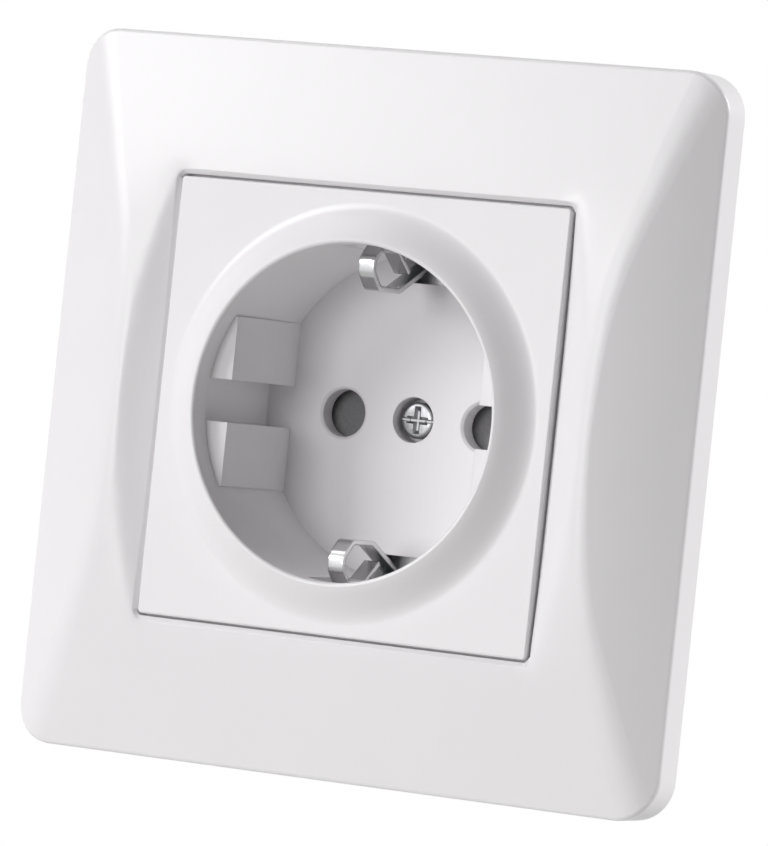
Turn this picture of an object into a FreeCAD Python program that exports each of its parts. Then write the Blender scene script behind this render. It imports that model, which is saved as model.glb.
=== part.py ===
import FreeCAD, Part
import math
import os

# Flush-mounted type F socket outlet with its frame, cover and insert. Sizes in millimetres.
# X is to the right seen from the front, Y goes into the wall, Z is up.
# The origin is on the face of the wall, on the axis of the well; the front faces -Y.

# Outer frame: a bowed front with two sloping side facets and a dished middle
frame_size = 85.5
frame_corner = 5.0
frame_wall = 1.8
frame_skin = 2.0
rim_height = 4.2
rim_radius = 0.5
crest_height = 9.3
crest_offset = 31.0
crest_radius = 3.0
crest_end_radius = 8.0
bow_radius = 222.0
facet_crown = 0.25
dish_depth = 4.7
dish_reach = 28.0
front_rows = 25
front_columns = 5
opening_bevel = 0.5
collar_wall = 1.6
ledge_width = 2.0
ledge_thickness = 1.8
foot_radius = 1.7
rib_thickness = 1.2
rib_offset = 14.0
rib_clearance = 1.0

# Socket cover: square plate, flared collar and well in one moulding
plate_size = 51.7
plate_corner = 0.5
plate_height = 7.6
plate_thickness = 2.0
plate_edge = 0.15
plate_gap = 0.3
lip_height = 10.25
lip_bevel = 0.4
flare_radius = 24.5
flare_angle = 20.0
flare_blend = 0.35
mouth_radius = 19.65
well_depth = 17.85
well_draft = 0.35
well_wall = 1.8
floor_thickness = 2.4
key_face = 16.46
key_inner = 2.5
key_outer = 10.0
key_length = 14.9
key_panel_depth = 0.25
pin_pitch = 19.0
pin_hole_radius = 2.85
pin_hole_edge = 0.3
earth_slot_width = 6.4
earth_slot_inset = 3.55
earth_slot_reach = 15.6
earth_slot_margin = 0.3
boss_radius = 4.2
boss_length = 2.0

# Cover screw and the other small screws
cover_head_radius = 2.25
cover_head_height = 1.9
cover_head_sink = 0.9
cover_head_clearance = 0.45
cover_shank_radius = 1.45
cover_shank_length = 7.0
shank_clearance = 0.2
thread_clearance = 0.05
head_edge = 0.35
recess_width = 0.6
recess_depth = 0.8
cross_width = 0.85
cross_length = 2.7
cross_depth = 1.1

# Pin shutter: a plate behind the pin holes that the pins push down
shutter_thickness = 1.2
shutter_clearance = 0.15
shutter_cover = 0.8
shutter_bridge = 3.2
shutter_ramp = 0.7

# Earth contact: one strip with a sprung clip at each end
earth_thickness = 0.8
earth_bar_width = 7.0
clip_width = 2.0
clip_thickness = 0.6
clip_grip_height = 14.8
clip_grip_start = 8.3
clip_nose_start = 13.1
clip_nose_reach = 14.9
clip_nose_low = 16.6
clip_nose_high = 18.0
clip_loop_height = 19.6
clip_loop_start = 13.4
clip_loop_end = 9.6
clip_tail_start = 6.3
clip_tail_height = 17.1
clip_root_height = 21.0
clip_bend = 1.4

# Mounting strap of pressed steel, with two legs that carry the base
strap_thickness = 1.0
strap_edge = 2.7
strap_corner_cut = 11.0
strap_hole_clearance = 0.9
strap_leg_width = 14.0
strap_leg_length = 20.0
strap_bend = 1.4
box_pitch = 60.0
box_slot_width = 4.0
box_slot_length = 5.6

# Contact base and its rear cover
base_gap = 0.3
base_depth = 17.3
base_radius = 26.0
base_wall = 2.8
base_front_wall = 2.6
rear_thickness = 2.0
rear_inset = 0.4
rear_bevel = 0.5
chamber_clearance = 0.4
driver_hole_radius = 3.4
wire_way = 4.0
rear_screw_offset = 11.5
rear_screw_height = 15.5
rear_head_radius = 2.2
rear_head_height = 1.4
rear_shank_radius = 1.2
rear_shank_length = 9.0
rivet_depth = 6.2
rivet_radius = 1.5
rivet_length = 4.5
rivet_head_radius = 2.5
rivet_head_height = 0.9

# Line and neutral contacts with their screw terminals
contact_thickness = 0.8
contact_grip = 2.3
contact_flare = 3.3
contact_width = 6.6
contact_length = 9.6
contact_lead = 2.0
terminal_drop = 14.2
terminal_pad = 7.6
clamp_thickness = 1.2
clamp_clearance = 0.3
terminal_head_radius = 2.9
terminal_head_height = 1.9
terminal_shank_radius = 1.7
terminal_shank_length = 4.2
earth_terminal_height = 14.0
earth_shank_length = 2.6

# Spreader claws and their screws
claw_thickness = 1.2
claw_width = 9.0
claw_depth = 13.0
claw_leg_length = 13.5
claw_tooth = 1.2
claw_tooth_pitch = 3.0
claw_bead_radius = 1.2
claw_bead_clearance = 0.08
claw_boss_height = 5.4
claw_boss_reach = 0.3
claw_boss_end = 1.4
claw_hole_radius = 2.0
claw_leg_clearance = 0.6
claw_head_radius = 2.6
claw_head_height = 1.9
claw_head_clearance = 0.5
claw_shank_radius = 1.45
claw_shank_length = 17.0

# Places worked out from the sizes; depth is along Y, negative in front of the wall
frame_half = frame_size / 2
plate_half = plate_size / 2
opening_half = plate_half + plate_gap
ledge_half = plate_half - ledge_width
ledge_front = -(plate_height - plate_thickness)
ledge_back = ledge_front + ledge_thickness
floor_front = well_depth - lip_height
floor_back = floor_front + floor_thickness
tube_radius = mouth_radius + well_wall
pin_x = pin_pitch / 2
earth_front = floor_back + boss_length
earth_back = earth_front + earth_thickness
base_front = floor_back + base_gap
base_back = base_front + base_depth
shutter_front = floor_back + shutter_clearance
shutter_back = shutter_front + shutter_thickness
shutter_half = pin_x + pin_hole_radius + shutter_cover
shutter_top = pin_hole_radius + shutter_cover
shutter_window = boss_radius + shutter_cover
shutter_bottom = -shutter_window - shutter_bridge
shutter_travel = shutter_top + pin_hole_radius + shutter_cover
rear_back = base_back + rear_thickness
contact_outer = pin_x + contact_width / 2 + contact_thickness
chamber_outer = contact_outer + chamber_clearance
base_half_width = chamber_outer + base_wall
base_half_height = clip_root_height + clip_thickness / 2 + base_wall
pad_back = base_back - terminal_head_height - clamp_thickness - chamber_clearance
pad_front = pad_back - contact_thickness
contact_front = base_front + base_front_wall + chamber_clearance
contact_back = contact_front + contact_length
pivot_x = base_half_width + claw_bead_radius + 2 * chamber_clearance
cover_seat = floor_front + cover_head_sink + cover_head_height
claw_screw_x = tube_radius + claw_head_radius + claw_head_clearance
claw_leg_inner = claw_screw_x + claw_shank_radius + claw_leg_clearance
claw_leg_outer = claw_leg_inner + claw_thickness
far = 3 * frame_size
touch = 1e-6


def vec(x, y, z):
    return FreeCAD.Vector(x, y, z)


def block(x0, x1, y0, y1, z0, z1):
    """A box between two corners."""
    return Part.makeBox(x1 - x0, y1 - y0, z1 - z0, vec(x0, y0, z0))


def drum(radius, x, z, y0, y1):
    """A round bar or hole along Y."""
    return Part.makeCylinder(radius, y1 - y0, vec(x, y0, z), vec(0, 1, 0))


def depth_edges(prism):
    """A prism's straight edges along Y."""
    return [e for e in prism.Edges if e.BoundBox.XLength < touch and e.BoundBox.ZLength < touch]


def rounded_square(half, corner, y0, y1):
    """A square prism along Y with rounded corners."""
    prism = block(-half, half, y0, y1, -half, half)
    return prism.makeFillet(corner, depth_edges(prism))


def joined(first, *others):
    """One solid from pieces that meet."""
    return first.fuse(list(others)).removeSplitter()


def mirrored(shape, axis):
    """The shape's mirror image across the plane through the origin square to axis."""
    return shape.mirror(vec(0, 0, 0), axis)


LEFT_RIGHT = vec(1, 0, 0)
UP_DOWN = vec(0, 0, 1)


def bent_path(points, radii):
    """Straight runs joined by tangent arcs; one radius for each inner point."""
    edges = []
    start = points[0]
    for before, corner, after, radius in zip(points, points[1:], points[2:], radii):
        back = (before - corner).normalize()
        ahead = (after - corner).normalize()
        half_angle = back.getAngle(ahead) / 2
        reach = radius / math.tan(half_angle)
        first = corner + back * reach
        last = corner + ahead * reach
        inward = (back + ahead).normalize()
        middle = corner + inward * (radius / math.sin(half_angle) - radius)
        edges.append(Part.LineSegment(start, first).toShape())
        edges.append(Part.Arc(first, middle, last).toShape())
        start = last
    edges.append(Part.LineSegment(start, points[-1]).toShape())
    return Part.Wire(edges)


def strip(points, radii, x0, x1, thickness):
    """Sheet metal bent along a path in the YZ plane, from x0 to x1 wide."""
    path = bent_path(points, radii)
    run = (points[1] - points[0]).normalize()
    side = vec(0, -run.z, run.y) * (thickness / 2)
    origin = points[0]
    corners = [
        origin + side + vec(x0, 0, 0),
        origin + side + vec(x1, 0, 0),
        origin - side + vec(x1, 0, 0),
        origin - side + vec(x0, 0, 0),
    ]
    section = Part.makePolygon(corners + corners[:1])
    return path.makePipeShell([section], True, False)


def screw(x, z, seat, head_radius, head_height, shank_radius, shank_length, facing):
    """A slotted screw along Y; facing is the way its head looks."""
    top = seat + facing * head_height
    tip = seat - facing * shank_length
    ends = sorted([top - facing * recess_depth, top + facing * head_height])
    arm = recess_width / 2
    head = drum(head_radius, x, z, min(seat, top), max(seat, top))
    shank = drum(shank_radius, x, z, min(seat, tip), max(seat, tip))
    slot = block(x - 2 * head_radius, x + 2 * head_radius, *ends, z - arm, z + arm)
    return joined(head, shank).cut(slot)


# Outer frame
def front_height(x, z):
    """Height of the frame's front above the wall, between its side crests."""
    bow = crest_height - z * z / (2 * bow_radius)
    fade = max(0.0, 1 - (z / dish_reach) ** 2) ** 2
    return bow - dish_depth * fade * (1 - (x / crest_offset) ** 2)


def spread(reach, count):
    return [reach * (2 * i / (count - 1) - 1) for i in range(count)]


def in_front(drop):
    """Everything in front of the frame's bowed face, moved back by drop."""
    reach = frame_half + 2 * frame_wall
    rows = [
        [vec(x, drop - front_height(x, z), z) for z in spread(reach, front_rows)]
        for x in spread(reach, front_columns)
    ]
    surface = Part.BSplineSurface()
    surface.interpolate(rows)
    return surface.toShape().extrude(vec(0, -far, 0))


def outside_facet(drop):
    """Everything outside the right-hand facet, a gently crowned slope from the rim to the crest."""
    rim = vec(frame_half, -rim_height, 0)
    crest = vec(crest_offset, -crest_height, 0)
    run = crest - rim
    radius = run.Length ** 2 / (8 * facet_crown) + facet_crown / 2
    outward = vec(-run.y, run.x, 0).normalize()
    centre = (rim + crest) * 0.5 - outward * (radius - facet_crown)

    def on_arc(point, overshoot):
        angle = math.atan2(point.y - centre.y, point.x - centre.x) + overshoot
        return centre + vec(math.cos(angle), math.sin(angle), 0) * (radius - drop)

    overshoot = run.Length / radius / 2
    low = on_arc(rim, overshoot)
    high = on_arc(crest, -overshoot)
    arc = Part.Arc(low, on_arc((rim + crest) * 0.5, 0), high).toShape()
    rest = Part.makePolygon([high, vec(high.x, -far, 0), vec(far, -far, 0), vec(far, low.y, 0), low])
    outline = Part.Face(Part.Wire([arc] + rest.Edges))
    outline.translate(vec(0, 0, -far / 2))
    return outline.extrude(vec(0, 0, far))


def frame_blank(half, corner, drop):
    """The frame's outer form as a full block, or its hollow when drop is the skin."""
    facet = outside_facet(drop)
    blank = rounded_square(half, corner, -2 * crest_height, 0)
    return blank.cut([in_front(drop), facet, mirrored(facet, LEFT_RIGHT)])


def surface_name(face):
    return type(face.Surface).__name__


def crest_edges(solid):
    """Edges where the bowed face meets a side facet."""
    found = []
    for edge in solid.Edges:
        faces = solid.ancestorsOfType(edge, Part.Face)
        kinds = sorted(surface_name(f) for f in faces)
        along = edge.BoundBox.ZLength
        if kinds == ["BSplineSurface", "Cylinder"] and along > frame_half / 2:
            found.append(edge)
    return found


def softened_crests(solid):
    """Rounds both crests, more and more towards their ends."""
    upper = solid.common(block(-far, far, -far, far, 0, far))
    for edge in crest_edges(upper):
        ends = (crest_radius, crest_end_radius)
        if edge.firstVertex().Z > edge.lastVertex().Z:
            ends = ends[::-1]
        upper = upper.makeFillet(*ends, [edge])
    return joined(upper, mirrored(upper, UP_DOWN))


def rim_edges(solid):
    """Edges around the outside where the front meets the side walls."""
    found = []
    for edge in solid.Edges:
        box = edge.BoundBox
        outermost = max(abs(box.XMin), abs(box.XMax), abs(box.ZMin), abs(box.ZMax))
        level = box.YLength < crest_height / 2
        reaches = outermost > frame_half - frame_corner
        inside = max(abs(box.Center.x), abs(box.Center.z)) < frame_half - frame_corner
        if box.YMax < -rim_radius and level and reaches and not inside:
            found.append(edge)
    return found


def opening_edges(solid):
    """Edges where the bowed face meets the walls of the opening."""
    found = []
    for edge in solid.Edges:
        box = edge.BoundBox
        inside = max(abs(box.XMin), abs(box.XMax), abs(box.ZMin), abs(box.ZMax)) < opening_half + touch
        if inside and box.YMax < ledge_front - opening_bevel and box.YLength < opening_bevel * 2:
            found.append(edge)
    return found


def outer_frame():
    solid = softened_crests(frame_blank(frame_half, frame_corner, 0))
    solid = solid.makeFillet(rim_radius, rim_edges(solid))
    collar_half = opening_half + collar_wall
    collar_corner = plate_corner + plate_gap + collar_wall
    hollow = frame_blank(frame_half - frame_wall, frame_corner - frame_wall, frame_skin)
    hollow = hollow.cut(rounded_square(collar_half, collar_corner, -far, ledge_back))
    rib_back = -strap_thickness - rib_clearance
    upper_ribs = [
        block(x - rib_thickness / 2, x + rib_thickness / 2, -far, rib_back, opening_half, frame_half)
        for x in (-rib_offset, rib_offset)
    ]
    for turn in range(4):
        for rib in upper_ribs:
            turned = rib.copy()
            turned.rotate(vec(0, 0, 0), vec(0, 1, 0), 90 * turn)
            hollow = hollow.cut(turned)
    solid = solid.cut(hollow)
    solid = solid.cut(rounded_square(opening_half, plate_corner + plate_gap, -far, ledge_front))
    solid = solid.cut(rounded_square(ledge_half, plate_corner, -far, far))
    solid = solid.makeChamfer(opening_bevel, opening_edges(solid))
    foot_place = opening_half + collar_wall / 2
    foot_front = ledge_back - ledge_thickness / 2
    corners = [(sx * foot_place, sz * foot_place) for sx in (-1, 1) for sz in (-1, 1)]
    feet = [drum(foot_radius, x, z, foot_front, -strap_thickness) for x, z in corners]
    feet = [foot.common(rounded_square(collar_half, collar_corner, -far, far)) for foot in feet]
    return joined(solid, *feet)


# Socket cover
def well_radius(y):
    """Radius of the tapered well wall at a depth."""
    return mouth_radius - well_draft * (y + lip_height) / well_depth


def well_body():
    """Collar, well wall and floor turned in one profile."""
    lip = vec(mouth_radius + lip_bevel, -lip_height, 0)
    foot = vec(flare_radius, -plate_height, 0)
    run = foot.x - lip.x
    slope = math.radians(flare_angle)
    flare = Part.BezierCurve()
    flare.setPoles([
        lip,
        lip + vec(math.cos(slope), math.sin(slope), 0) * (run * flare_blend),
        foot - vec(run * flare_blend, 0, 0),
        foot,
    ])
    lip_depth = lip_bevel - lip_height
    wall = Part.makePolygon([
        foot,
        vec(flare_radius, ledge_front, 0),
        vec(tube_radius, ledge_front, 0),
        vec(tube_radius, floor_back, 0),
        vec(0, floor_back, 0),
        vec(0, floor_front, 0),
        vec(well_radius(floor_front), floor_front, 0),
        vec(well_radius(lip_depth), lip_depth, 0),
        lip,
    ])
    outline = Part.Face(Part.Wire(wall.Edges + [flare.toShape()]))
    return outline.revolve(vec(0, 0, 0), vec(0, 1, 0), 360)


def key_rib():
    """The upper left key rib: a flat-faced block against the well wall."""
    rib = block(-tube_radius, -key_face, floor_front - key_length, floor_back, key_inner, key_outer)
    return rib.common(drum(tube_radius - well_wall / 2, 0, 0, -far, far))


def socket_cover():
    plate = rounded_square(plate_half, plate_corner, -plate_height, ledge_front)
    front_rim = [e for e in plate.Edges if e.BoundBox.YMax < touch - plate_height]
    plate = plate.makeChamfer(plate_edge, front_rim)
    plate = plate.cut(drum((tube_radius + flare_radius) / 2, 0, 0, -far, far))
    boss = drum(boss_radius, 0, 0, floor_front + floor_thickness / 2, earth_front)
    ribs = [key_rib(), mirrored(key_rib(), UP_DOWN)]
    ribs += [mirrored(rib, LEFT_RIGHT) for rib in ribs]
    cover = joined(well_body(), plate, boss, *ribs)
    key_front = floor_front - key_length
    panel_face = well_radius(key_front) + key_panel_depth
    panel = block(-panel_face, -key_face, key_front, floor_front, -key_inner, key_inner)
    slot = block(
        -earth_slot_width / 2,
        earth_slot_width / 2,
        floor_front - earth_slot_reach,
        far,
        mouth_radius - earth_slot_inset,
        tube_radius + earth_slot_margin,
    )
    cuts = [panel, mirrored(panel, LEFT_RIGHT), slot, mirrored(slot, UP_DOWN)]
    for x in (-pin_x, pin_x):
        cuts.append(drum(pin_hole_radius, x, 0, floor_front - well_depth, far))
        edge_radius = pin_hole_radius + pin_hole_edge
        place = vec(x, floor_front, 0)
        cuts.append(Part.makeCone(edge_radius, pin_hole_radius, pin_hole_edge, place, vec(0, 1, 0)))
    cuts.append(drum(cover_head_radius + cover_head_clearance, 0, 0, floor_front - boss_length, cover_seat))
    cuts.append(drum(cover_shank_radius + shank_clearance, 0, 0, floor_front, far))
    return cover.cut(cuts)


def cover_screw():
    """The screw in the floor, with a cross in its slot and a bevelled rim."""
    top = cover_seat - cover_head_height
    head = (cover_head_radius, cover_head_height)
    plain = screw(0, 0, cover_seat, *head, cover_shank_radius, cover_shank_length, -1)
    long = cross_length / 2
    arm = cross_width / 2
    bottom = top + cross_depth
    crosses = [block(-arm, arm, -far, bottom, -long, long), block(-long, long, -far, bottom, -arm, arm)]
    rim = cover_head_radius - head_edge
    bevel = Part.makeCone(rim, rim + far, far, vec(0, top, 0), vec(0, 1, 0))
    return plain.cut(crosses).common(bevel)


# Pin shutter
def pin_shutter():
    """Two wings joined by a bridge below the boss; sloped faces turn the pins' push into a drop."""
    plate = block(-shutter_half, shutter_half, shutter_front, shutter_back, shutter_bottom, shutter_top)
    window = block(-shutter_window, shutter_window, -far, far, -shutter_window, far)
    ramp = Part.Face(Part.makePolygon([
        vec(-far, shutter_front, -pin_hole_radius),
        vec(-far, shutter_front, shutter_top),
        vec(-far, shutter_front + shutter_ramp, shutter_top),
        vec(-far, shutter_front, -pin_hole_radius),
    ]))
    return plate.cut([window, ramp.extrude(vec(2 * far, 0, 0))])


# Earth contact
def earth_clip():
    """The upper clip: a ramp from behind the floor, a flat grip, a round nose and a tail looped back."""
    middle = (earth_front + earth_back) / 2
    nose_front = floor_front - clip_nose_reach
    points = [
        vec(0, middle, clip_root_height - 3 * clip_bend),
        vec(0, middle, clip_root_height),
        vec(0, floor_front - clip_grip_start, clip_grip_height),
        vec(0, floor_front - clip_nose_start, clip_grip_height),
        vec(0, nose_front, clip_nose_low),
        vec(0, nose_front, clip_nose_high),
        vec(0, floor_front - clip_loop_start, clip_loop_height),
        vec(0, floor_front - clip_loop_end, clip_loop_height),
        vec(0, floor_front - clip_tail_start, clip_tail_height),
    ]
    radii = [clip_bend] * (len(points) - 2)
    return strip(points, radii, -clip_width / 2, clip_width / 2, clip_thickness)


def earth_contact():
    reach = clip_root_height - 2 * clip_bend
    bar = block(-earth_bar_width / 2, earth_bar_width / 2, earth_front, earth_back, -reach, reach)
    solid = joined(bar, earth_clip(), mirrored(earth_clip(), UP_DOWN))
    tapped = drum(cover_shank_radius + thread_clearance, 0, 0, -far, far)
    terminal = drum(terminal_shank_radius + thread_clearance, 0, earth_terminal_height, earth_front, far)
    return solid.cut([tapped, terminal])


# Mounting strap
def box_slot():
    """Slot for a wall-box screw at the top, long way up."""
    straight = (box_slot_length - box_slot_width) / 2
    z = box_pitch / 2
    ends = [drum(box_slot_width / 2, 0, z + s * straight, -far, far) for s in (-1, 1)]
    middle = block(-box_slot_width / 2, box_slot_width / 2, -far, far, z - straight, z + straight)
    return joined(middle, *ends)


def mounting_strap():
    half = (box_pitch + box_slot_length) / 2 + strap_edge
    plate = block(-half, half, -strap_thickness, 0, -half, half)
    plate = plate.makeChamfer(strap_corner_cut, depth_edges(plate))
    leg_half = strap_leg_width / 2
    window = drum(tube_radius + strap_hole_clearance, 0, 0, -far, far)
    plate = plate.cut(window)
    plate = plate.cut(block(-leg_half, leg_half, -far, far, -base_half_height, base_half_height))
    inner = base_half_height
    outer = base_half_height + strap_thickness
    leg = block(-leg_half, leg_half, -strap_thickness, strap_leg_length, inner, outer + strap_bend)
    leg = leg.cut(block(-leg_half, leg_half, 0, far, outer, far))
    front = [e for e in leg.Edges if e.BoundBox.YMax < touch - strap_thickness]
    leg = leg.makeFillet(strap_bend / 2, [e for e in front if e.BoundBox.ZMax < inner + touch])
    solid = joined(plate, leg, mirrored(leg, UP_DOWN))
    slot = box_slot()
    for turn in range(4):
        turned = slot.copy()
        turned.rotate(vec(0, 0, 0), vec(0, 1, 0), 90 * turn)
        solid = solid.cut(turned)
    for x in (-claw_screw_x, claw_screw_x):
        solid = solid.cut(drum(claw_shank_radius + shank_clearance, x, 0, -far, far))
    return solid.cut(rivet_bars(rivet_radius + thread_clearance))


def rivet_bars(radius):
    """Round bars along Z at the two rivets, from inside the base to outside the legs."""
    inner = base_half_height + strap_thickness - rivet_length
    upper = Part.makeCylinder(radius, rivet_length, vec(0, base_front + rivet_depth, inner), vec(0, 0, 1))
    return [upper, mirrored(upper, UP_DOWN)]


def strap_rivets():
    """Two rivets with low heads that hold the legs to the base."""
    outer = base_half_height + strap_thickness
    place = vec(0, base_front + rivet_depth, outer)
    head = Part.makeCylinder(rivet_head_radius, rivet_head_height, place, vec(0, 0, 1))
    upper = joined(rivet_bars(rivet_radius)[0], head)
    return Part.makeCompound([upper, mirrored(upper, UP_DOWN)])


# Contact base
def base_blocks(inset, y0, y1):
    """A round and a square block; what they share has the base's outline."""
    wide = base_half_width - inset
    high = base_half_height - inset
    return drum(base_radius - inset, 0, 0, y0, y1), block(-wide, wide, y0, y1, -high, high)


def terminal_pocket():
    """Room for the right-hand screw terminal, open to the back."""
    half = terminal_pad / 2 + chamber_clearance
    inner = pin_x - half
    top = half - terminal_drop
    bottom = -half - terminal_drop
    pocket = block(inner, chamber_outer, pad_front, far, bottom, top)
    shank = drum(terminal_shank_radius + shank_clearance, pin_x, -terminal_drop, contact_front, far)
    wire = block(pin_x - wire_way / 2, pin_x + wire_way / 2, pad_back, far, -far, bottom)
    return [pocket, shank, wire]


def claw_boss():
    """Right-hand boss with the groove that the claw's bead turns in."""
    half = claw_width / 2 + claw_boss_end
    y = claw_depth
    boss = block(
        base_half_width - base_wall / 2,
        pivot_x + claw_boss_reach,
        max(base_front, y - claw_boss_height / 2),
        y + claw_boss_height / 2,
        -half,
        half,
    )
    groove_radius = claw_bead_radius + claw_bead_clearance
    length = claw_width + 2 * claw_bead_clearance
    groove = Part.makeCylinder(groove_radius, length, vec(pivot_x, y, -length / 2), vec(0, 0, 1))
    return boss.cut(groove)


def contact_base():
    barrel, flats = base_blocks(0, base_front, base_back)
    solid = joined(barrel.common(flats), claw_boss(), mirrored(claw_boss(), LEFT_RIGHT))
    channel = max(earth_bar_width / 2, boss_radius) + chamber_clearance
    cuts = [block(-channel, channel, -far, earth_back, -far, far)]
    screw_end = cover_seat + cover_shank_length + chamber_clearance
    cuts.append(drum(cover_shank_radius + shank_clearance, 0, 0, -far, screw_end))
    cuts.append(block(
        -shutter_half - chamber_clearance,
        shutter_half + chamber_clearance,
        -far,
        shutter_back + shutter_clearance,
        shutter_bottom - shutter_travel - chamber_clearance,
        shutter_top + chamber_clearance,
    ))
    chamber_half = contact_flare + contact_thickness / 2 + chamber_clearance
    chamber_inner = pin_x - contact_width / 2 - chamber_clearance
    chamber_front = contact_front - chamber_clearance
    chamber = block(chamber_inner, chamber_outer, chamber_front, far, -chamber_half, chamber_half)
    passage = drum(pin_hole_radius + chamber_clearance, pin_x, 0, -far, far)
    tail = block(
        contact_outer - contact_thickness - chamber_clearance,
        chamber_outer,
        pad_front - contact_width / 2 - chamber_clearance,
        far,
        -terminal_drop - terminal_pad / 2 - chamber_clearance,
        0,
    )
    for cut in [chamber, passage, tail] + terminal_pocket():
        cuts += [cut, mirrored(cut, LEFT_RIGHT)]
    half = terminal_pad / 2 + chamber_clearance
    z = earth_terminal_height
    cuts.append(block(-half, half, earth_front, far, z - half, z + half))
    cuts.append(block(-far, far, earth_back, earth_back + wire_way, z - wire_way / 2, z + wire_way / 2))
    cuts += rivet_bars(rivet_radius + thread_clearance)
    for x in (-rear_screw_offset, rear_screw_offset):
        hole_front = base_back - rear_shank_length
        cuts.append(drum(rear_shank_radius + thread_clearance, x, rear_screw_height, hole_front, far))
    return solid.cut(cuts)


def rear_cover():
    bevelled = []
    for blank in base_blocks(rear_inset, base_back, rear_back):
        ring = [e for e in blank.Edges if e.BoundBox.YMin > rear_back - touch]
        bevelled.append(blank.makeChamfer(rear_bevel, ring))
    solid = bevelled[0].common(bevelled[1])
    holes = [drum(driver_hole_radius, 0, earth_terminal_height, -far, far)]
    for x in (-pin_x, pin_x):
        holes.append(drum(driver_hole_radius, x, -terminal_drop, -far, far))
    for x in (-rear_screw_offset, rear_screw_offset):
        holes.append(drum(rear_shank_radius + shank_clearance, x, rear_screw_height, -far, far))
    return solid.cut(holes)


def rear_cover_screws():
    pair = [
        screw(x, rear_screw_height, rear_back, rear_head_radius, rear_head_height, rear_shank_radius,
              rear_thickness + rear_shank_length - chamber_clearance, 1)
        for x in (-rear_screw_offset, rear_screw_offset)
    ]
    return Part.makeCompound(pair)


# Line and neutral contacts
def live_contact():
    """The right-hand contact: two bowed leaves on a web, a tail and a tapped terminal pad."""
    inner = pin_x - contact_width / 2
    web_inner = contact_outer - contact_thickness
    centre = contact_thickness / 2
    points = [
        vec(0, contact_front, contact_flare),
        vec(0, contact_front + contact_lead, contact_grip + centre),
        vec(0, contact_back, contact_flare),
    ]
    leaf = strip(points, [2 * contact_lead], inner, contact_outer, contact_thickness)
    web_half = contact_flare
    web = block(web_inner, contact_outer, contact_front + contact_lead, contact_back, -web_half, web_half)
    pad_half = terminal_pad / 2
    bottom = -terminal_drop - pad_half
    tail_front = pad_front - contact_width / 2
    tail = block(web_inner, contact_outer, tail_front, pad_back, bottom, 0)
    pad = block(pin_x - pad_half, contact_outer, pad_front, pad_back, bottom, pad_half - terminal_drop)
    solid = joined(web, leaf, mirrored(leaf, UP_DOWN), tail, pad)
    return solid.cut(drum(terminal_shank_radius + thread_clearance, pin_x, -terminal_drop, -far, far))


def clamp_plate(x, z, y):
    """Square clamping plate under a terminal screw's head."""
    half = terminal_pad / 2 - clamp_clearance
    plate = block(x - half, x + half, y, y + clamp_thickness, z - half, z + half)
    plate = plate.makeChamfer(clamp_thickness / 2, depth_edges(plate))
    return plate.cut(drum(terminal_shank_radius + shank_clearance, x, z, -far, far))


def terminal_screw(x, z, y, length):
    seat = y + clamp_thickness
    return screw(x, z, seat, terminal_head_radius, terminal_head_height, terminal_shank_radius,
                 clamp_thickness + length, 1)


# Spreader claws
def claw():
    """The right-hand claw: a rolled bead, a flange drilled for the screw and a toothed leg."""
    half = claw_width / 2
    y0 = claw_depth - claw_thickness / 2
    y1 = claw_depth + claw_thickness / 2
    leg_back = claw_depth + claw_leg_length
    bead = Part.makeCylinder(claw_bead_radius, claw_width, vec(pivot_x, claw_depth, -half), vec(0, 0, 1))
    flange = block(pivot_x, claw_leg_outer, y0, y1, -half, half)
    leg = block(claw_leg_inner, claw_leg_outer, y0, leg_back, -half, half)
    lip = block(claw_leg_inner, claw_leg_outer + claw_tooth, leg_back - claw_thickness, leg_back, -half, half)
    solid = joined(bead, flange, leg, lip)
    front = [e for e in solid.Edges if e.BoundBox.YMax < y0 + touch]
    solid = solid.makeFillet(claw_thickness, [e for e in front if e.BoundBox.XMin > claw_leg_outer - touch])
    tip = claw_leg_outer + claw_tooth
    teeth = int(claw_width / claw_tooth_pitch)
    for gap in range(1, teeth):
        z = gap * claw_width / teeth - half
        notch = Part.makePolygon([
            vec(tip + claw_tooth, 0, z - claw_tooth),
            vec(tip - claw_tooth, 0, z),
            vec(tip + claw_tooth, 0, z + claw_tooth),
            vec(tip + claw_tooth, 0, z - claw_tooth),
        ])
        solid = solid.cut(Part.Face(notch).extrude(vec(0, far, 0)))
    return solid.cut(drum(claw_hole_radius, claw_screw_x, 0, -far, far))


def claw_screw(x):
    head = (claw_head_radius, claw_head_height)
    return screw(x, 0, -strap_thickness, *head, claw_shank_radius, claw_shank_length, -1)


pieces = {
    "outer_frame": outer_frame(),
    "socket_cover": socket_cover(),
    "cover_screw": cover_screw(),
    "pin_shutter": pin_shutter(),
    "earth_contact": earth_contact(),
    "mounting_strap": mounting_strap(),
    "strap_rivets": strap_rivets(),
    "contact_base": contact_base(),
    "rear_cover": rear_cover(),
    "rear_cover_screws": rear_cover_screws(),
    "neutral_contact": live_contact(),
    "line_contact": mirrored(live_contact(), LEFT_RIGHT),
    "neutral_clamp_plate": clamp_plate(pin_x, -terminal_drop, pad_back),
    "line_clamp_plate": clamp_plate(-pin_x, -terminal_drop, pad_back),
    "earth_clamp_plate": clamp_plate(0, earth_terminal_height, earth_back),
    "neutral_terminal_screw": terminal_screw(pin_x, -terminal_drop, pad_back, terminal_shank_length),
    "line_terminal_screw": terminal_screw(-pin_x, -terminal_drop, pad_back, terminal_shank_length),
    "earth_terminal_screw": terminal_screw(0, earth_terminal_height, earth_back, earth_shank_length),
    "right_claw": claw(),
    "left_claw": mirrored(claw(), LEFT_RIGHT),
    "right_claw_screw": claw_screw(claw_screw_x),
    "left_claw_screw": claw_screw(-claw_screw_x),
}

os.makedirs("parts", exist_ok=True)
for name, shape in pieces.items():
    shape.exportStep("parts/" + name + ".step")
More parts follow.
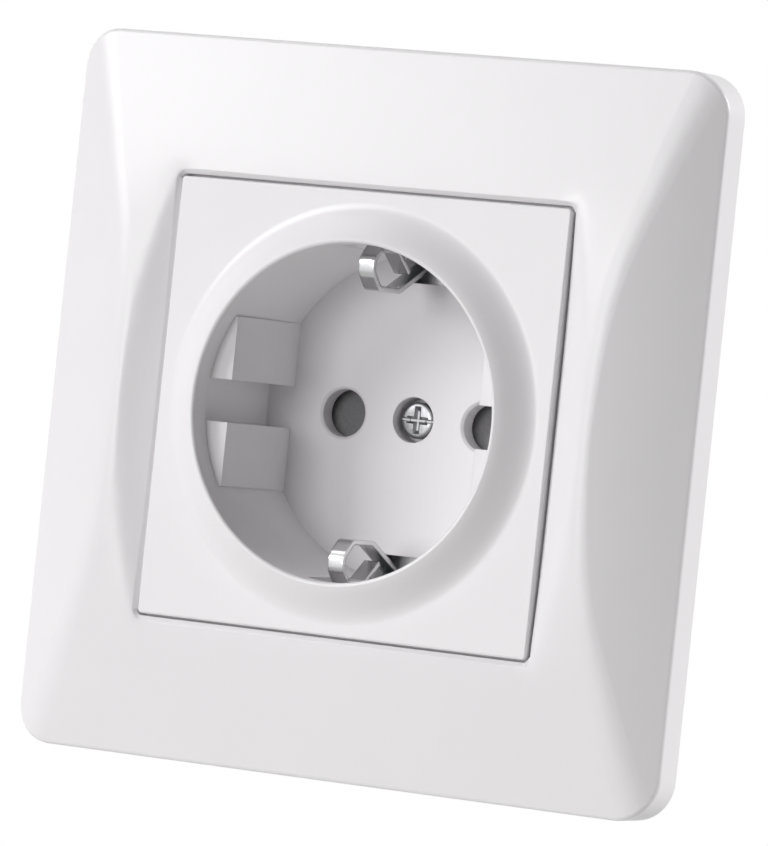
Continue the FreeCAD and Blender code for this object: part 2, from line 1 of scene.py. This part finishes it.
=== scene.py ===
import math

import bmesh
import bpy
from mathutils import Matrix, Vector


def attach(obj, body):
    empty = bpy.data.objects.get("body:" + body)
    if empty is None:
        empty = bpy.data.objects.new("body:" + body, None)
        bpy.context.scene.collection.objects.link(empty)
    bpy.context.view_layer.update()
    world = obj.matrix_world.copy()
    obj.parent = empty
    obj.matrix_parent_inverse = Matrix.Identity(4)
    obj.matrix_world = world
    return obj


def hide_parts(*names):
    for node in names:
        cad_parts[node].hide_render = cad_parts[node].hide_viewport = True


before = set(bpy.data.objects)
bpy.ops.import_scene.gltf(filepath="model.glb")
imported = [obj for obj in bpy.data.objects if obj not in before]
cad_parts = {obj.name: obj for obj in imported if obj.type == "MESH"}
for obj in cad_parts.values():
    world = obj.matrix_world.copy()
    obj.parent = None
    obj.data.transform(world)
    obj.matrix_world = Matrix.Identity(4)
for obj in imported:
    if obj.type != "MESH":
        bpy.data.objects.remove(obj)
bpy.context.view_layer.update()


# Outer frame
# The square frame that hides the edge of the wall box, one thin injection moulding in white ABS.
# It lies against the wall and is held by the cover's plate, which presses on its inner ledge.
def linear(hex_colour):
    """An sRGB hex colour as linear RGBA."""
    parts = [int(hex_colour[i:i + 2], 16) / 255 for i in (1, 3, 5)]
    return [c / 12.92 if c <= 0.04045 else ((c + 0.055) / 1.055) ** 2.4 for c in parts] + [1.0]


def add(owner, kind, inputs, **settings):
    """Adds a node to a material or the world; each input is a value or another node's output."""
    tree = owner.node_tree
    node = tree.nodes.new(kind)
    for name, value in settings.items():
        setattr(node, name, value)
    for name, value in inputs.items():
        if isinstance(value, bpy.types.NodeSocket):
            tree.links.new(value, node.inputs[name])
        else:
            node.inputs[name].default_value = value
    return node


def empty_material(name):
    material = bpy.data.materials.new(name)
    material.use_nodes = True
    material.node_tree.nodes.clear()
    return material


def white_abs(name, matt_and_shade_radius=None):
    """White ABS, satin from a polished tool; within the given radius of the well's axis the tool was eroded matt.
    The eye sees an even white with soft highlights and eased edges; the matt part is rougher and its white a little
    darker, that darkening being painted shade for the deep well."""
    peel_mm, grain_mm, tone_mm, edge_mm, relief_mm = 1.6, 0.22, 9.0, 0.2, 0.02
    satin_roughness, matt_roughness = 0.34, 0.52
    material = empty_material(name)
    place = add(material, "ShaderNodeTexCoord", {}).outputs["Object"]
    tone = add(material, "ShaderNodeTexNoise", {"Vector": place, "Scale": 1000 / tone_mm, "Detail": 2.0})
    colour = add(material, "ShaderNodeMix", {
        "Factor": tone.outputs["Fac"], "A": linear("#f3f1f3"), "B": linear("#f0eef0"),
    }, data_type="RGBA").outputs["Result"]
    peel = add(material, "ShaderNodeTexNoise", {"Vector": place, "Scale": 1000 / peel_mm, "Detail": 0.0})
    height, roughness = peel.outputs["Fac"], satin_roughness
    if matt_and_shade_radius:
        across = add(material, "ShaderNodeVectorMath", {0: place, 1: (1, 0, 1)}, operation="MULTIPLY")
        radius = add(material, "ShaderNodeVectorMath", {0: across.outputs[0]}, operation="LENGTH")
        matt_and_shade = add(material, "ShaderNodeMath", {
            0: radius.outputs["Value"], 1: matt_and_shade_radius,
        }, operation="LESS_THAN").outputs[0]
        grain = add(material, "ShaderNodeTexNoise", {"Vector": place, "Scale": 1000 / grain_mm, "Detail": 2.0})
        # Inside the radius the colour is a slightly darker white: painted shade for the deep well, on top of its
        # real matt finish.
        colour = add(material, "ShaderNodeMix", {
            "Factor": matt_and_shade, "A": colour, "B": linear("#eceaec"),
        }, data_type="RGBA").outputs["Result"]
        roughness = add(material, "ShaderNodeMapRange", {
            "Value": matt_and_shade, "To Min": satin_roughness, "To Max": matt_roughness,
        }).outputs[0]
        height = add(material, "ShaderNodeMix", {
            "Factor": matt_and_shade, "A": height, "B": grain.outputs["Fac"],
        }, data_type="FLOAT").outputs[0]
    edge = add(material, "ShaderNodeBevel", {"Radius": edge_mm / 1000}, samples=6)
    bump = add(material, "ShaderNodeBump", {
        "Height": height, "Strength": 0.25, "Distance": relief_mm / 1000, "Normal": edge.outputs[0],
    })
    shader = add(material, "ShaderNodeBsdfPrincipled", {
        "Base Color": colour, "Roughness": roughness, "IOR": 1.53, "Normal": bump.outputs[0],
    })
    add(material, "ShaderNodeOutputMaterial", {"Surface": shader.outputs[0]})
    return material


# Slopes of the frame beside the plate, in millimetres
# From each crest the front falls at a steady slope to just below the plate, and its foot rises to the corners.
# The slope meets the bowed front in a narrow round in the middle and a soft one towards its ends.
opening_half, opening_bevel, opening_slack = 26.15, 0.5, 0.02
slope_foot, slope_lift, slope_rise, slope_reach = 6.75, 0.75, 0.55, 6.0
round_middle, round_ends = 0.07, 0.25


def cut_beside_plate(point):
    """How deep the front is cut at a point, in metres, and the share of the slope's direction there."""
    x, height, z = abs(point.x) * 1000, -point.y * 1000, abs(point.z) * 1000
    out = math.hypot(x - opening_half, z - opening_half) if z > opening_half else x - opening_half
    if out < -opening_slack or out > slope_reach:
        return 0.0, 0.0
    along = min(1.0, z / opening_half)
    foot, bevel = slope_foot + slope_lift * along ** 4, max(0.0, opening_bevel - out)
    level = foot + slope_rise * max(out, opening_bevel) - bevel
    softness = round_middle + round_ends * along ** 2
    over = math.exp((height - level) / softness)
    return softness * math.log(1 + over) / 1000, over / (1 + over)


# The CAD mesh is copied with its normals, split finely where it is cut, and pressed down; in metres from here.
longest_edge, least_cut, lowest_front, rounds = 0.0007, 0.00001, -0.0062, 5
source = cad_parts["outer_frame"].data
fine = bmesh.new()
fine.from_mesh(source)
facing = fine.loops.layers.float_vector.new("facing")
for face, polygon in zip(fine.faces, source.polygons):
    for loop, index in zip(face.loops, polygon.loop_indices):
        loop[facing] = source.corner_normals[index].vector
for _ in range(rounds):
    coarse = [edge for edge in fine.edges if edge.calc_length() > longest_edge and any(
        cut_beside_plate(v.co)[0] > least_cut and v.co.y < lowest_front for v in edge.verts)]
    bmesh.ops.subdivide_edges(fine, edges=coarse, cuts=1)
bmesh.ops.triangulate(fine, faces=fine.faces)
for vertex in fine.verts:
    depth, share = cut_beside_plate(vertex.co)
    slope = Vector((-math.copysign(slope_rise, vertex.co.x), -1, 0))
    for loop in vertex.link_loops:
        if loop[facing].y < -0.8:  # faces the front
            loop[facing] = (loop[facing] / -loop[facing].y).lerp(slope, share).normalized()
    vertex.co.y += depth
mesh = bpy.data.meshes.new("outer_frame_sloped")
fine.to_mesh(mesh)
fine.free()
mesh.materials.append(white_abs("white_abs_satin"))
mesh.normals_split_custom_set([corner.vector for corner in mesh.attributes["facing"].data])
mesh.attributes.remove(mesh.attributes["facing"])
sloped = bpy.data.objects.new("outer_frame_sloped", mesh)
bpy.context.collection.objects.link(sloped)
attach(sloped, "insert")
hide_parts("outer_frame")


# Socket cover
# Plate, flared collar and plug well, moulded in one from the same white ABS, with a matt well whose white is
# darkened a little as painted shade.
# The screw in its floor pulls it against the base.
def dress(material, *names):
    """Gives a finish to CAD pieces by name."""
    for name in names:
        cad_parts[name].data.materials[0] = material


# Within this radius of the axis the well is matt, and its white is darkened a little as painted shade.
matt_and_shade_well_radius = 0.0197
cover_white = white_abs("white_abs_matt_shaded_well", matt_and_shade_well_radius)
dress(cover_white, "socket_cover")


# Lip of the well, in millimetres
# The mouth's edge is a small quarter round, where the tool's polished collar meets the matt well.
# It catches the light as a thin bright ring.
def turned(name, profile_mm, steps, material):
    """A piece turned about the well's axis from (radius, depth) points, riding on the insert."""
    points, faces = [], []
    for i in range(steps):
        turn = 2 * math.pi * i / steps
        points += [(r * math.cos(turn) / 1000, y / 1000, r * math.sin(turn) / 1000) for r, y in profile_mm]
    count = len(profile_mm)
    for i in range(steps):
        a, b = i * count, (i + 1) % steps * count
        faces += [(a + k, a + k + 1, b + k + 1, b + k) for k in range(count - 1)]
    mesh = bpy.data.meshes.new(name)
    mesh.from_pydata(points, [], faces)
    mesh.materials.append(material)
    mesh.shade_smooth()
    piece = bpy.data.objects.new(name, mesh)
    bpy.context.collection.objects.link(piece)
    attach(piece, "insert")
    return piece


lip_r, lip_y, lip_round, lip_steps = 20.05, -9.85, 0.4, 160
arc = [math.radians(a) for a in range(0, 91, 10)]
lip_profile = [(lip_r - lip_round * math.sin(a), lip_y - lip_round * math.cos(a)) for a in arc]
turned("well_lip", lip_profile, lip_steps, cover_white)


# Cover screw and the other small screws, in millimetres
# Cold-headed steel screws with a bright zinc plate, silver grey with soft dents from handling.
# The cover screw's head has a pressed cross with a slot through it, and its edge is rounded.
def plated(name, light, dark, roughness, grain_mm, stretch, dent, edge_mm=0.1):
    """A metal with a drawn or rolled grain: streaks of grain_mm, drawn out along each axis by stretch.
    The eye sees a mirror softened and broken into fine streaks, with edges rounded by the plating bath."""
    dent_mm = 0.02
    material = empty_material(name)
    place = add(material, "ShaderNodeTexCoord", {}).outputs["Object"]
    drawn = add(material, "ShaderNodeVectorMath", {
        0: place, 1: [1000 / grain_mm / s for s in stretch],
    }, operation="MULTIPLY").outputs[0]
    streak = add(material, "ShaderNodeTexNoise", {"Vector": drawn, "Scale": 1.0, "Detail": 3.0})
    colour = add(material, "ShaderNodeMix", {
        "Factor": streak.outputs["Fac"], "A": linear(light), "B": linear(dark),
    }, data_type="RGBA")
    gloss = add(material, "ShaderNodeMapRange", {
        "Value": streak.outputs["Fac"], "To Min": roughness * 0.7, "To Max": roughness * 1.3,
    })
    edge = add(material, "ShaderNodeBevel", {"Radius": edge_mm / 1000}, samples=6)
    bump = add(material, "ShaderNodeBump", {
        "Height": streak.outputs["Fac"], "Strength": dent, "Distance": dent_mm / 1000,
        "Normal": edge.outputs[0],
    })
    shader = add(material, "ShaderNodeBsdfPrincipled", {
        "Base Color": colour.outputs["Result"], "Metallic": 1.0, "Roughness": gloss.outputs[0],
        "Normal": bump.outputs[0],
    })
    add(material, "ShaderNodeOutputMaterial", {"Surface": shader.outputs[0]})
    return material


zinc = plated("bright_zinc_plate", "#9a9a9c", "#757578", 0.32, 0.5, (1, 1, 1), 0.9)
dress(zinc, "rear_cover_screws", "strap_rivets")
dress(zinc, "neutral_terminal_screw", "line_terminal_screw", "earth_terminal_screw")


def pressed_recess(piece, near, far, start, depth):
    """Cuts a tapered slot from the front: half sizes (x, z) at its mouth and its bottom, start to start + depth."""
    (x0, z0), (x1, z1) = near, far
    end = start + depth
    corners = [(x0, start, z0), (-x0, start, z0), (-x0, start, -z0), (x0, start, -z0)]
    corners += [(x1, end, z1), (-x1, end, z1), (-x1, end, -z1), (x1, end, -z1)]
    mesh = bpy.data.meshes.new("cutter")
    mesh.from_pydata([[c / 1000 for c in corner] for corner in corners], [], [
        (0, 1, 2, 3), (7, 6, 5, 4), (0, 4, 5, 1), (1, 5, 6, 2), (2, 6, 7, 3), (3, 7, 4, 0),
    ])
    cutter = bpy.data.objects.new("cutter", mesh)
    bpy.context.collection.objects.link(cutter)
    cut = piece.modifiers.new("recess", "BOOLEAN")
    cut.object = cutter
    bpy.context.view_layer.update()
    piece.data = bpy.data.meshes.new_from_object(piece.evaluated_get(bpy.context.evaluated_depsgraph_get()))
    piece.modifiers.clear()
    bpy.data.objects.remove(cutter)


screw_steps, above_head = 72, 8.2
cover_screw = turned("cover_screw_fine", [
    (0.0, 8.5), (1.0, 8.51), (1.7, 8.54), (1.98, 8.59), (2.1, 8.68), (2.15, 8.82), (2.15, 10.4),
    (1.45, 10.4), (1.45, 17.1), (1.15, 17.4), (0.0, 17.4),
], screw_steps, zinc)
pressed_recess(cover_screw, (2.6, 0.3), (2.6, 0.14), above_head, 0.6)
pressed_recess(cover_screw, (0.68, 2.15), (0.14, 1.15), above_head, 0.7)
pressed_recess(cover_screw, (1.85, 0.68), (1.0, 0.14), above_head, 0.7)
cover_screw.data.shade_smooth()
cover_screw.data.set_sharp_from_angle(angle=math.radians(30))
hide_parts("cover_screw")

# Earth contact
# One strip of spring bronze, nickel-plated, bent to a clip at each end that grips the plug's side.
# Rolled strip has a bright face with streaks along its length.
dress(plated("nickel_plate", "#dededf", "#c6c6c8", 0.16, 0.12, (1, 40, 40), 0.12, 0.35), "earth_contact")

# Mounting strap and terminal clamps
# Pressed from sheet steel and zinc-plated; the strap's two legs are bent back and riveted to the base.
# The plate leaves a soft grey metal with rolling streaks.
sheet = plated("zinc_plated_sheet", "#bfc1c2", "#a4a6a8", 0.34, 0.25, (12, 12, 1), 0.35)
dress(sheet, "mounting_strap", "neutral_clamp_plate", "line_clamp_plate", "earth_clamp_plate")


# Contact base and rear cover
# Compression-moulded urea thermoset, grey for the base and paler for the plate that closes it at the back.
# The filler shows as fine specks, and the surface is dull.
def filled_resin(name, body, speck):
    """A moulding resin with a mineral filler; the eye sees a dull, faintly speckled grey."""
    speck_mm, relief_mm = 0.35, 0.03
    material = empty_material(name)
    place = add(material, "ShaderNodeTexCoord", {}).outputs["Object"]
    filler = add(material, "ShaderNodeTexNoise", {"Vector": place, "Scale": 1000 / speck_mm, "Detail": 2.0})
    share = add(material, "ShaderNodeMapRange", {
        "Value": filler.outputs["Fac"], "From Min": 0.45, "From Max": 0.7,
    })
    colour = add(material, "ShaderNodeMix", {
        "Factor": share.outputs[0], "A": linear(body), "B": linear(speck),
    }, data_type="RGBA")
    bump = add(material, "ShaderNodeBump", {
        "Height": filler.outputs["Fac"], "Strength": 0.3, "Distance": relief_mm / 1000,
    })
    shader = add(material, "ShaderNodeBsdfPrincipled", {
        "Base Color": colour.outputs["Result"], "Roughness": 0.55, "IOR": 1.58, "Normal": bump.outputs[0],
    })
    add(material, "ShaderNodeOutputMaterial", {"Surface": shader.outputs[0]})
    return material


dress(filled_resin("grey_thermoset", "#a3a5a6", "#949698"), "contact_base")
dress(filled_resin("pale_thermoset", "#cfcfca", "#c2c2bc"), "rear_cover")

# Pin shutter
# A slide of dark grey filled polyamide behind the well's floor, injection moulded.
# It closes both pin holes, and a pair of pins pushes it down in the base's pocket.
dress(filled_resin("grey_polyamide", "#69686a", "#605f61"), "pin_shutter")

# Line and neutral contacts
# Stamped from brass strip and bent, each with sprung leaves for a pin and a pad under its terminal.
# They stay the warm yellow of new brass inside the base.
brass = plated("brass_strip", "#d9b765", "#c39f52", 0.24, 0.15, (20, 20, 1), 0.25)
dress(brass, "neutral_contact", "line_contact")

# Spreader claws
# Hardened strip steel with a dull zinc plate, toothed at the end that bites into the wall box.
# Each turns on a bead that lies in a groove of the base.
claw_steel = plated("dull_zinc_steel", "#a7a8a8", "#8c8d8f", 0.4, 0.25, (1, 14, 1), 0.4)
dress(claw_steel, "right_claw", "left_claw")

# Claw screws
# Long slotted screws through the strap that draw the claws; their rolled thread shows behind the strap.
# The thread stops short of the flange that tilts on the shank, so it stays clear of it.
claw_screw_x, thread_start, thread_end = 0.02455, 0.0006, 0.0102
dress(zinc, "right_claw_screw", "left_claw_screw")


def rolled_thread(name, x):
    """A helical ridge round a claw screw's shank, along Y; its foot and crest are half widths in pitches."""
    shank, ridge, pitch, steps = 0.00145, 0.00013, 0.0007, 28
    foot, crest = 0.36, 0.06
    inner, outer = shank - ridge / 4, shank + ridge
    count = int((thread_end - thread_start) / pitch * steps)
    points, faces = [], []
    for i in range(count + 1):
        turn = 2 * math.pi * i / steps
        y = thread_start + pitch * i / steps
        for radius, shift in ((inner, -foot), (outer, -crest), (outer, crest), (inner, foot)):
            points.append((x + radius * math.cos(turn), y + shift * pitch, radius * math.sin(turn)))
        if i:
            a = 4 * (i - 1)
            faces += [(a + k, a + k + 1, a + k + 5, a + k + 4) for k in range(3)]
    mesh = bpy.data.meshes.new(name)
    mesh.from_pydata(points, [], faces)
    piece = bpy.data.objects.new(name, mesh)
    bpy.context.collection.objects.link(piece)
    mesh.materials.append(zinc)
    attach(piece, "insert")


rolled_thread("right_claw_thread", claw_screw_x)
rolled_thread("left_claw_thread", -claw_screw_x)

# Camera
# At the photograph's place: level with the socket, to its right, with a long lens and the picture rolled.
# Its place was solved from the pin pitch, the well and the outline of the frame.
camera = bpy.data.objects.new("camera", bpy.data.cameras.new("camera"))
bpy.context.collection.objects.link(camera)
camera.location = (0.36133, -0.65885, 0.00158)
camera.rotation_euler = [math.radians(a) for a in (89.8272, -5.9383, 28.7385)]
camera.data.sensor_width = 36
camera.data.lens = 273.756
bpy.context.scene.camera = camera

# Light
# Soft boxes round the socket: the key at the front left, one in front, a weak one high on the left, a rim light.
# Each has its azimuth from the front, to the right, and its elevation in degrees, and its power in watts.
lamps = {"key": (-43, 21, 4.0), "front": (-12, 5, 2.6), "side": (-75, 55, 0.6), "rim": (120, 25, 6.7)}
lamp_distance, lamp_size = 0.9, 0.35
for name, (azimuth, elevation, watts) in lamps.items():
    lamp = bpy.data.objects.new(name, bpy.data.lights.new(name, "AREA"))
    bpy.context.collection.objects.link(lamp)
    around, above = math.radians(azimuth), math.radians(elevation)
    away = Vector((math.sin(around) * math.cos(above), -math.cos(around) * math.cos(above), math.sin(above)))
    lamp.location = lamp_distance * away
    lamp.rotation_euler = (-away).to_track_quat("-Z", "Y").to_euler()
    lamp.data.size = lamp_size
    lamp.data.energy = watts

# Backdrop
# A white sweep of paper: the world is white to the eye and to reflections.
# It gives the object only a weak even light.
even_level = 0.05
world = bpy.data.worlds.new("white_sweep")
bpy.context.scene.world = world
world.use_nodes = True
world.node_tree.nodes.clear()
path = add(world, "ShaderNodeLightPath", {})
seen = add(world, "ShaderNodeMath", {
    0: path.outputs["Is Camera Ray"], 1: path.outputs["Is Glossy Ray"],
}, operation="MAXIMUM")
seen = add(world, "ShaderNodeMath", {
    0: seen.outputs[0], 1: path.outputs["Is Transmission Ray"],
}, operation="MAXIMUM")
level = add(world, "ShaderNodeMapRange", {"Value": seen.outputs[0], "To Min": even_level, "To Max": 1.0})
sky = add(world, "ShaderNodeBackground", {"Color": linear("#ffffff"), "Strength": level.outputs[0]})
add(world, "ShaderNodeOutputWorld", {"Surface": sky.outputs[0]})

# Floor
# A pale painted disc well below the socket, which hangs on its wall.
# Its edge fades into the white of the backdrop.
floor_radius, floor_height, fade_start, fade_end = 0.35, -0.12, 0.16, 0.34
floor_paint = empty_material("pale_matt_paint")
place = add(floor_paint, "ShaderNodeTexCoord", {}).outputs["Object"]
distance = add(floor_paint, "ShaderNodeVectorMath", {0: place}, operation="LENGTH").outputs["Value"]
fade = add(floor_paint, "ShaderNodeMapRange", {
    "Value": distance, "From Min": fade_start, "From Max": fade_end,
})
pale = add(floor_paint, "ShaderNodeBsdfDiffuse", {"Color": linear("#f4f4f2")})
clear = add(floor_paint, "ShaderNodeBsdfTransparent", {})
mixed = add(floor_paint, "ShaderNodeMixShader", {0: fade.outputs[0], 1: pale.outputs[0], 2: clear.outputs[0]})
add(floor_paint, "ShaderNodeOutputMaterial", {"Surface": mixed.outputs[0]})
bpy.ops.mesh.primitive_circle_add(
    vertices=96, radius=floor_radius, fill_type="NGON", location=(0, 0, floor_height))
floor = bpy.context.object
floor.name = "floor"
floor.data.materials.append(floor_paint)

# View
# Colours show as they are written.
bpy.context.scene.view_settings.view_transform = "Standard"
